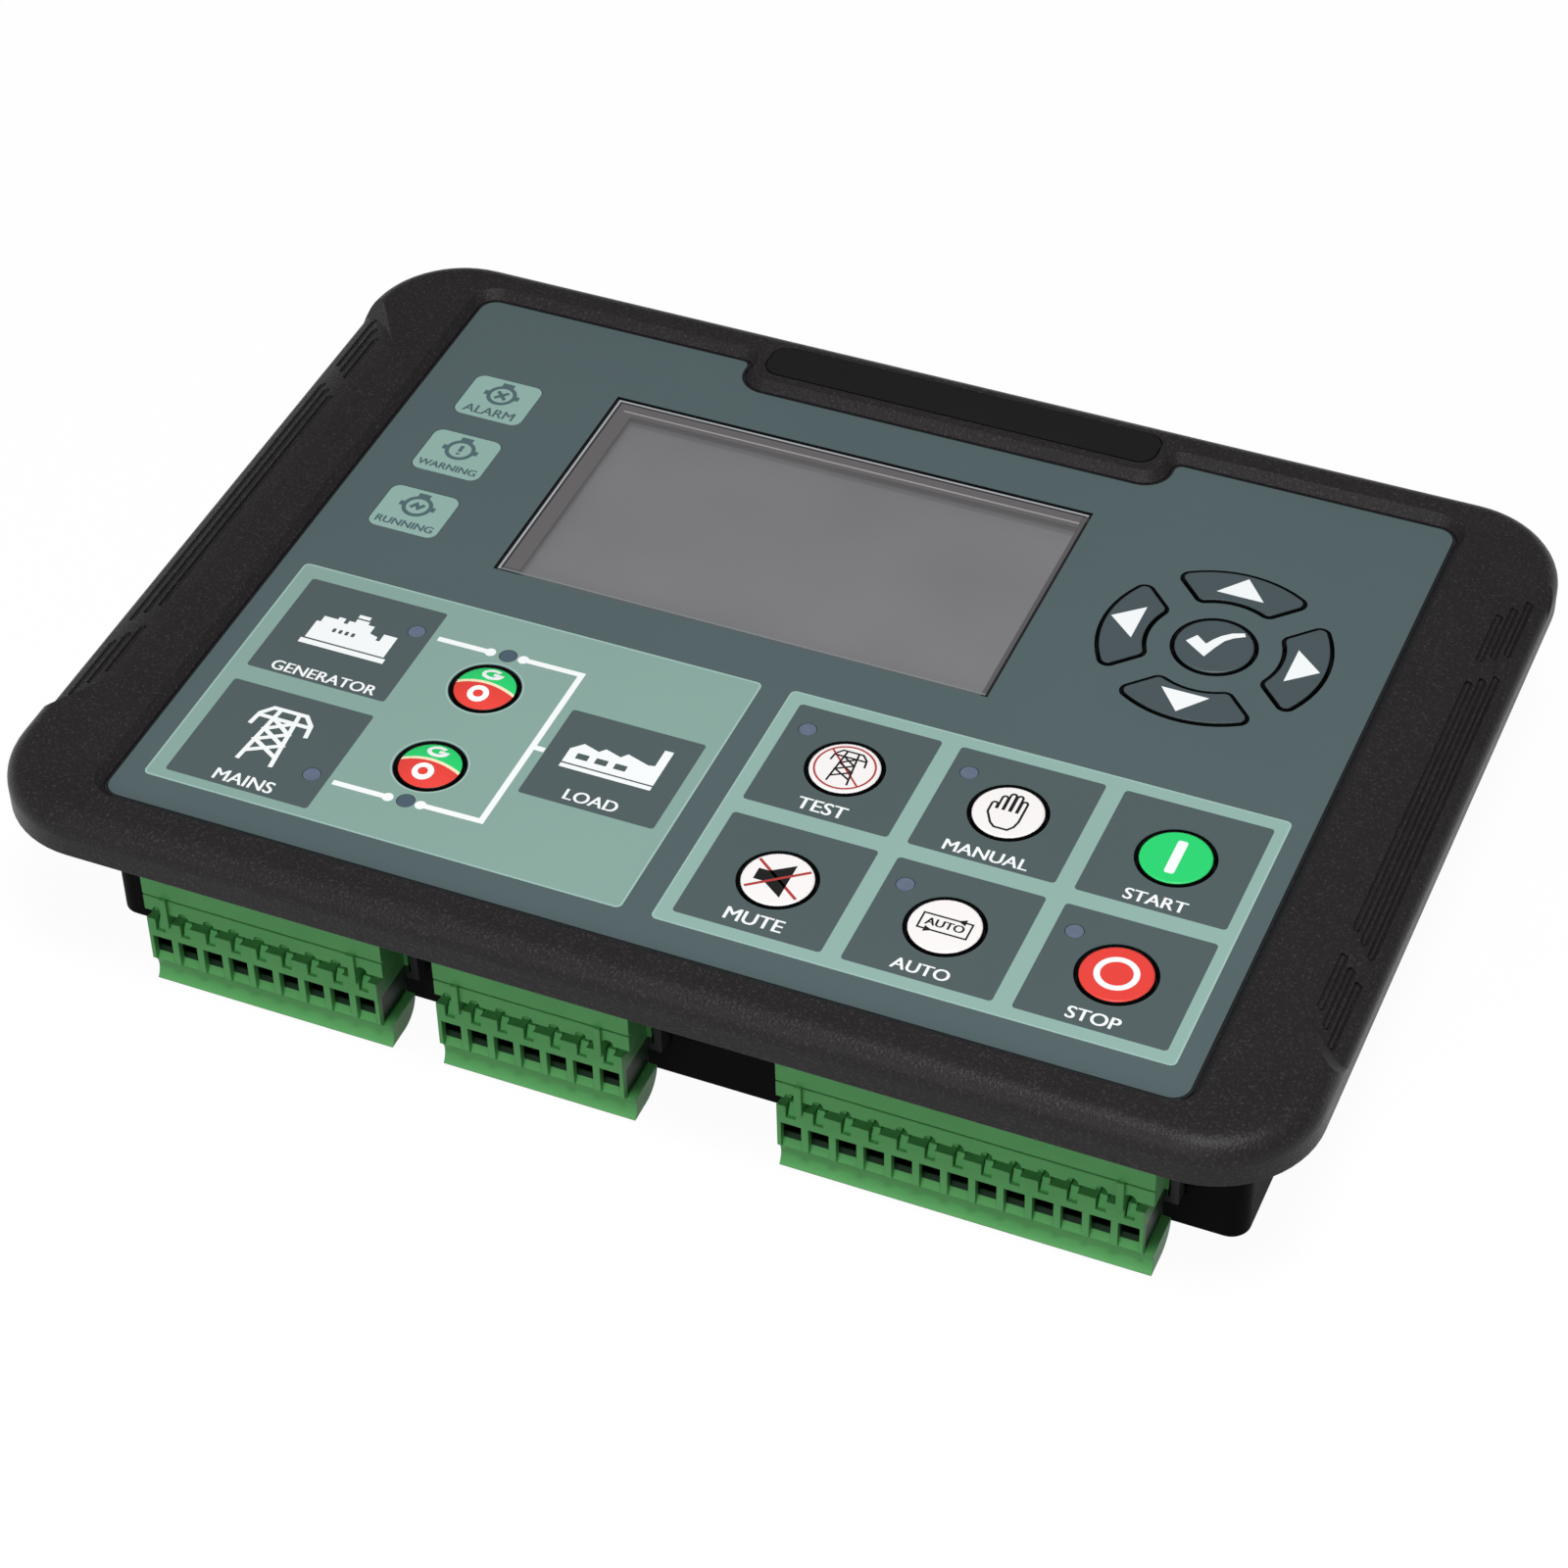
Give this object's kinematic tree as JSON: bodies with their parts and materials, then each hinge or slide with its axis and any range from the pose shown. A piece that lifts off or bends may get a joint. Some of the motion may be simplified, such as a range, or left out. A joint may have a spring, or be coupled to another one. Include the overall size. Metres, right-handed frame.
{
  "type": "genset controller",
  "caption": "Panel-mounted controller for a standby generating set, with a display, a cursor pad, round function keys, a mimic diagram and plug-in terminal blocks along the lower side.",
  "frame": {"origin": "on the rear face of the housing, in the middle of the overall box", "axes": "+Z towards the front of the panel, +X to the right along the width, +Y up the panel"},
  "size_m": [0.1988, 0.144, 0.036],
  "materials": {
    "case": "fine grain",
    "nameplate": "gloss",
    "film": "fine satin",
    "window": "gloss",
    "gasket": "matt",
    "steel": "plated",
    "display": "gloss",
    "diffuser": "satin",
    "silicone": "matt",
    "lens": "clear tint",
    "status_lens": "satin",
    "led": "gloss",
    "board": "lacquered",
    "black_part": "moulded",
    "tin": "tinned",
    "plug": "moulded",
    "lever": "moulded",
    "relay": "moulded",
    "capacitor": "sleeved",
    "key_dark": "satin",
    "key_white": "satin",
    "key_green": "satin",
    "key_red": "satin"
  },
  "bodies": {
    "unit": {"front_bezel": "case", "nameplate": "nameplate", "front_film": "film", "display_window": "window", "panel_gasket": "gasket", "rear_housing": "case", "housing_screws": "steel", "lcd_frame": "steel", "lcd_glass": "display", "lcd_backlight": "diffuser", "key_mat": "silicone", "indicator_lenses": "lens", "status_lenses": "status_lens", "indicator_leds": "led", "display_board": "board", "main_board": "board", "board_screws": "steel", "board_link": "black_part", "header_9": "black_part", "header_7": "black_part", "header_13": "black_part", "header_pins": "tin", "plug_9": "plug", "plug_7": "plug", "plug_13": "plug", "release_levers": "lever", "wire_clamps": "tin", "relays": "relay", "capacitors": "capacitor", "processor": "black_part", "power_coil": "black_part", "backup_cell": "tin", "cell_holder": "black_part"},
    "key_up_body": {"key_up": "key_dark"},
    "key_left_body": {"key_left": "key_dark"},
    "key_down_body": {"key_down": "key_dark"},
    "key_right_body": {"key_right": "key_dark"},
    "key_enter_body": {"key_enter": "key_dark"},
    "key_generator_breaker_body": {"key_generator_breaker": "key_red"},
    "key_mains_breaker_body": {"key_mains_breaker": "key_red"},
    "key_test_body": {"key_test": "key_white"},
    "key_manual_body": {"key_manual": "key_white"},
    "key_start_body": {"key_start": "key_green"},
    "key_mute_body": {"key_mute": "key_white"},
    "key_auto_body": {"key_auto": "key_white"},
    "key_stop_body": {"key_stop": "key_red"}
  },
  "joints": [
    {"name": "key_up_press", "type": "slide", "parent": "unit", "child": "key_up_body", "axis": [0, 0, -1], "range_m": [0, 0.0008], "stiffness_N_per_m": 1500, "springref_m": -0.0006, "deforming": ["key_mat"]},
    {"name": "key_left_press", "type": "slide", "parent": "unit", "child": "key_left_body", "axis": [0, 0, -1], "range_m": [0, 0.0008], "stiffness_N_per_m": 1500, "springref_m": -0.0006},
    {"name": "key_down_press", "type": "slide", "parent": "unit", "child": "key_down_body", "axis": [0, 0, -1], "range_m": [0, 0.0008], "stiffness_N_per_m": 1500, "springref_m": -0.0006},
    {"name": "key_right_press", "type": "slide", "parent": "unit", "child": "key_right_body", "axis": [0, 0, -1], "range_m": [0, 0.0008], "stiffness_N_per_m": 1500, "springref_m": -0.0006},
    {"name": "key_enter_press", "type": "slide", "parent": "unit", "child": "key_enter_body", "axis": [0, 0, -1], "range_m": [0, 0.0008], "stiffness_N_per_m": 1500, "springref_m": -0.0006},
    {"name": "key_generator_breaker_press", "type": "slide", "parent": "unit", "child": "key_generator_breaker_body", "axis": [0, 0, -1], "range_m": [0, 0.0008], "stiffness_N_per_m": 1500, "springref_m": -0.0006},
    {"name": "key_mains_breaker_press", "type": "slide", "parent": "unit", "child": "key_mains_breaker_body", "axis": [0, 0, -1], "range_m": [0, 0.0008], "stiffness_N_per_m": 1500, "springref_m": -0.0006},
    {"name": "key_test_press", "type": "slide", "parent": "unit", "child": "key_test_body", "axis": [0, 0, -1], "range_m": [0, 0.0008], "stiffness_N_per_m": 1500, "springref_m": -0.0006},
    {"name": "key_manual_press", "type": "slide", "parent": "unit", "child": "key_manual_body", "axis": [0, 0, -1], "range_m": [0, 0.0008], "stiffness_N_per_m": 1500, "springref_m": -0.0006},
    {"name": "key_start_press", "type": "slide", "parent": "unit", "child": "key_start_body", "axis": [0, 0, -1], "range_m": [0, 0.0008], "stiffness_N_per_m": 1500, "springref_m": -0.0006},
    {"name": "key_mute_press", "type": "slide", "parent": "unit", "child": "key_mute_body", "axis": [0, 0, -1], "range_m": [0, 0.0008], "stiffness_N_per_m": 1500, "springref_m": -0.0006},
    {"name": "key_auto_press", "type": "slide", "parent": "unit", "child": "key_auto_body", "axis": [0, 0, -1], "range_m": [0, 0.0008], "stiffness_N_per_m": 1500, "springref_m": -0.0006},
    {"name": "key_stop_press", "type": "slide", "parent": "unit", "child": "key_stop_body", "axis": [0, 0, -1], "range_m": [0, 0.0008], "stiffness_N_per_m": 1500, "springref_m": -0.0006}
  ]
}
